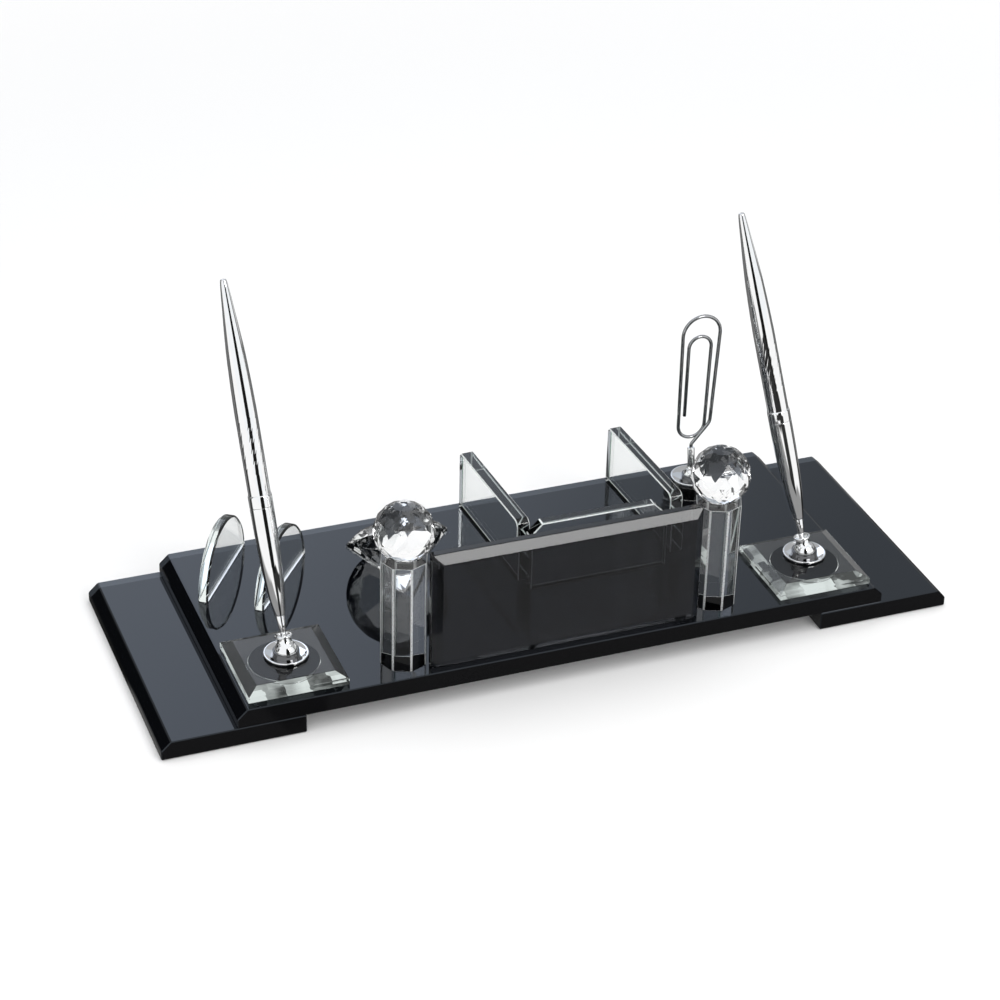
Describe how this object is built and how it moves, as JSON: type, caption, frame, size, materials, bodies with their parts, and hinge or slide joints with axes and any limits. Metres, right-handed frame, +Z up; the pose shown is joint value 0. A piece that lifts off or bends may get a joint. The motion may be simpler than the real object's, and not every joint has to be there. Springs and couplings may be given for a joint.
{
  "type": "desk set",
  "caption": "Black glass desk set with swivelling pen sockets and pens, a swivelling wire photo clip, pillars with faceted balls, a paper rack, card panes and a gem paperweight.",
  "frame": {"origin": "centre of the base's footprint, on the table", "axes": "+Z up, +X to the right along the plates, +Y to the back; the panel faces -Y"},
  "size_m": [0.3172, 0.1116, 0.1557],
  "materials": {
    "black_glass": "polished, black underside",
    "smoked_glass": "polished, smoked",
    "clear_glass": "polished, faint green edge",
    "crystal": "cut and polished",
    "dark_pad": "matt",
    "chrome": "polished chrome",
    "steel_wire": "polished wire"
  },
  "bodies": {
    "base": {"main_plate": "black_glass", "left_foot_plate": "black_glass", "right_foot_plate": "black_glass", "front_panel": "smoked_glass", "left_pillar": "crystal", "right_pillar": "crystal", "left_ball": "crystal", "right_ball": "crystal", "rack_left_fin": "clear_glass", "rack_right_fin": "clear_glass", "rack_front_plate": "clear_glass", "outer_card_disc": "clear_glass", "inner_card_disc": "clear_glass", "left_pen_block": "clear_glass", "left_block_pad": "dark_pad", "left_saucer": "chrome", "right_pen_block": "clear_glass", "right_block_pad": "dark_pad", "right_saucer": "chrome", "clip_puck": "clear_glass", "clip_saucer": "chrome"},
    "gem": {"paperweight": "crystal"},
    "left_ring": {"left_swivel_ring": "chrome"},
    "left_socket": {"left_cup": "chrome"},
    "left_pen": {"left_pen_nose": "chrome", "left_lower_barrel": "chrome", "left_seam_ring": "chrome", "left_upper_barrel": "chrome"},
    "right_ring": {"right_swivel_ring": "chrome"},
    "right_socket": {"right_cup": "chrome"},
    "right_pen": {"right_pen_nose": "chrome", "right_lower_barrel": "chrome", "right_seam_ring": "chrome", "right_upper_barrel": "chrome"},
    "clip_ring": {"clip_swivel_ring": "chrome"},
    "clip": {"clip_ball": "chrome", "clip_tube": "chrome", "clip_wire": "steel_wire"}
  },
  "joints": [
    {"name": "gem_lift", "type": "slide", "parent": "base", "child": "gem", "axis": [0, 0, 1], "range_m": [0, 0.06]},
    {"name": "left_turn", "type": "hinge", "parent": "base", "child": "left_ring", "pos_m": [-0.1047, -0.03265, 0.0211], "axis": [0, 0, 1], "continuous": true},
    {"name": "left_tilt", "type": "hinge", "parent": "left_ring", "child": "left_socket", "pos_m": [-0.1047, -0.03265, 0.0211], "axis": [-0.9839, -0.1788, 0], "range_deg": [-43.1, 6.9]},
    {"name": "left_pen_out", "type": "slide", "parent": "left_socket", "child": "left_pen", "axis": [-0.0555, 0.3057, 0.9505], "range_m": [0, 0.03]},
    {"name": "right_turn", "type": "hinge", "parent": "base", "child": "right_ring", "pos_m": [0.1075, -0.0311, 0.0211], "axis": [0, 0, 1], "continuous": true},
    {"name": "right_tilt", "type": "hinge", "parent": "right_ring", "child": "right_socket", "pos_m": [0.1075, -0.0311, 0.0211], "axis": [-0.8151, -0.5793, 0], "range_deg": [-41.1, 8.9]},
    {"name": "right_pen_out", "type": "slide", "parent": "right_socket", "child": "right_pen", "axis": [-0.1606, 0.226, 0.9608], "range_m": [0, 0.03]},
    {"name": "clip_turn", "type": "hinge", "parent": "base", "child": "clip_ring", "pos_m": [0.0881, 0.03425, 0.0228], "axis": [0, 0, 1], "continuous": true},
    {"name": "clip_tilt", "type": "hinge", "parent": "clip_ring", "child": "clip", "pos_m": [0.0881, 0.03425, 0.0228], "axis": [0, 1, 0], "range_deg": [-11, 19]}
  ]
}
